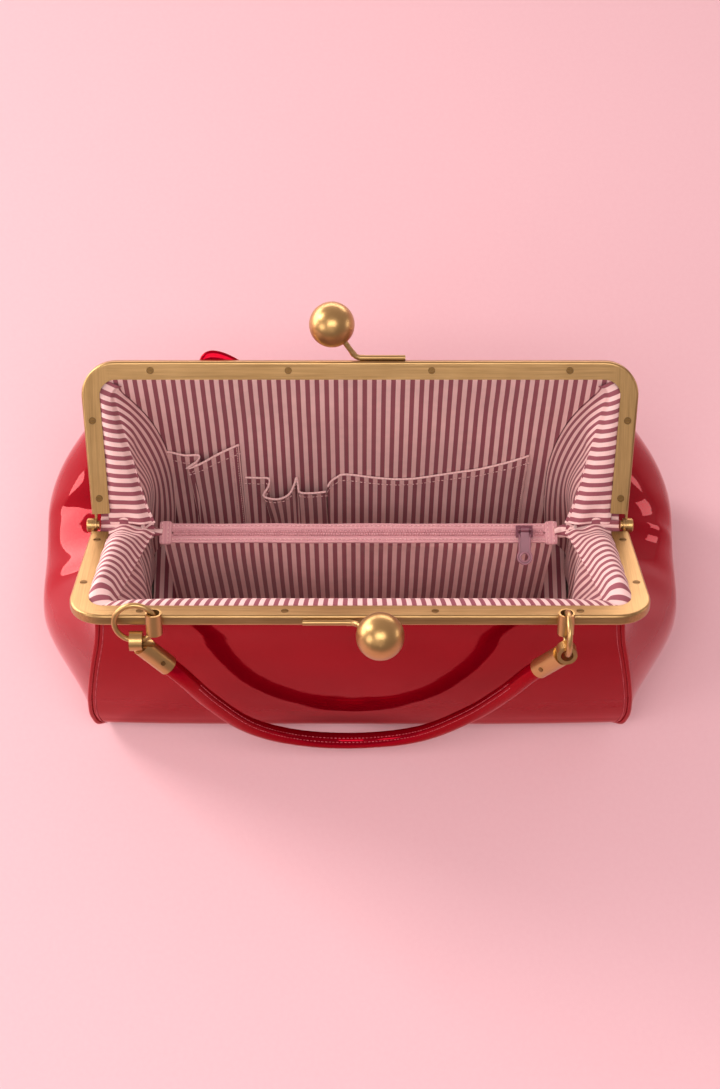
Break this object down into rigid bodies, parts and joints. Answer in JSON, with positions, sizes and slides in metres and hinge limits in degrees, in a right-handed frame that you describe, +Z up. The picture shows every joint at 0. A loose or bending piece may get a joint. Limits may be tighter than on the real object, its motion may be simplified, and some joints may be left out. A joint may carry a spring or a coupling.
{
  "type": "kiss lock handbag",
  "caption": "Structured handbag with a hinged brass kiss lock frame, glossy leather body, striped lining, zip divider and rolled handles on rings; stands open to load.",
  "frame": {"origin": "centre of the base on the floor", "axes": "+X to the viewer's right along the frame hinge, +Y to the back, +Z up"},
  "size_m": [0.3868, 0.2132, 0.2198],
  "materials": {
    "patent_leather": "high gloss patent",
    "base_stiffener": "matt fibre board",
    "striped_lining": "woven stripe",
    "zip_tape": "woven tape",
    "zip_coil": "moulded coil",
    "enamelled_zinc": "satin enamel",
    "antique_brass": "brushed antique",
    "polished_brass": "polished antique"
  },
  "bodies": {
    "bag": {"front_panel": "patent_leather", "rear_panel": "patent_leather", "left_gusset": "patent_leather", "right_gusset": "patent_leather", "base_panel": "patent_leather", "base_board": "base_stiffener", "front_lining": "striped_lining", "rear_lining": "striped_lining", "left_gusset_lining": "striped_lining", "right_gusset_lining": "striped_lining", "base_lining": "striped_lining", "divider_front": "striped_lining", "divider_rear": "striped_lining", "zip_tape_front": "zip_tape", "zip_tape_rear": "zip_tape", "zip_coil": "zip_coil", "zip_tab_left": "zip_tape", "zip_tab_right": "zip_tape", "left_pocket": "striped_lining", "centre_pocket": "striped_lining", "right_pocket": "striped_lining"},
    "front_frame_half": {"front_frame": "antique_brass", "front_screws": "polished_brass", "front_clasp_stem": "antique_brass", "front_clasp_ball": "polished_brass", "front_lug_left": "polished_brass", "front_lug_right": "polished_brass"},
    "rear_frame_half": {"rear_frame": "antique_brass", "rear_screws": "polished_brass", "rear_clasp_stem": "antique_brass", "rear_clasp_ball": "polished_brass", "rear_lug_left": "polished_brass", "rear_lug_right": "polished_brass", "hinge_rivet_left": "polished_brass", "hinge_rivet_right": "polished_brass"},
    "front_left_ring": {"front_ring_left": "polished_brass"},
    "front_right_ring": {"front_ring_right": "polished_brass"},
    "front_handle_set": {"front_handle": "patent_leather", "front_ferrule_left": "polished_brass", "front_ferrule_right": "polished_brass", "front_set_screws": "polished_brass"},
    "rear_ring_pair": {"rear_ring_left": "polished_brass", "rear_ring_right": "polished_brass"},
    "rear_handle_set": {"rear_handle": "patent_leather", "rear_ferrule_left": "polished_brass", "rear_ferrule_right": "polished_brass", "rear_set_screws": "polished_brass"},
    "slider": {"zip_slider": "enamelled_zinc"},
    "pull": {"zip_pull": "enamelled_zinc"}
  },
  "joints": [
    {"name": "front_half_close", "type": "hinge", "parent": "bag", "child": "front_frame_half", "pos_m": [0, 0, 0.135], "axis": [-1, 0, 0], "range_deg": [0, 53]},
    {"name": "rear_half_close", "type": "hinge", "parent": "bag", "child": "rear_frame_half", "pos_m": [0, 0, 0.135], "axis": [1, 0, 0], "range_deg": [0, 53]},
    {"name": "front_left_ring_turn", "type": "hinge", "parent": "front_frame_half", "child": "front_left_ring", "pos_m": [-0.1115, -0.0818, 0.19477], "axis": [0, 0.6018, 0.7986], "range_deg": [-3, 3]},
    {"name": "front_right_ring_turn", "type": "hinge", "parent": "front_frame_half", "child": "front_right_ring", "pos_m": [0.1115, -0.0818, 0.19477], "axis": [0, 0.6018, 0.7986], "range_deg": [-4, 0]},
    {"name": "front_handle_swing", "type": "hinge", "parent": "front_frame_half", "child": "front_handle_set", "pos_m": [0.1115, -0.09001, 0.20095], "axis": [-0.9979, 0.006, -0.065], "range_deg": [0, 100]},
    {"name": "rear_ring_swing", "type": "hinge", "parent": "rear_frame_half", "child": "rear_ring_pair", "pos_m": [0, 0.07871, 0.1801], "axis": [1, 0, 0], "range_deg": [0, 60]},
    {"name": "rear_handle_swing", "type": "hinge", "parent": "rear_ring_pair", "child": "rear_handle_set", "pos_m": [0, 0.0885, 0.16088], "axis": [1, 0, 0], "range_deg": [0, 70]},
    {"name": "zip_slide", "type": "slide", "parent": "bag", "child": "slider", "axis": [1, 0, 0], "range_m": [-0.198, 0]},
    {"name": "pull_flip", "type": "hinge", "parent": "slider", "child": "pull", "pos_m": [0.097, 0.002, 0.1236], "axis": [-1, 0, 0], "range_deg": [0, 120]}
  ]
}
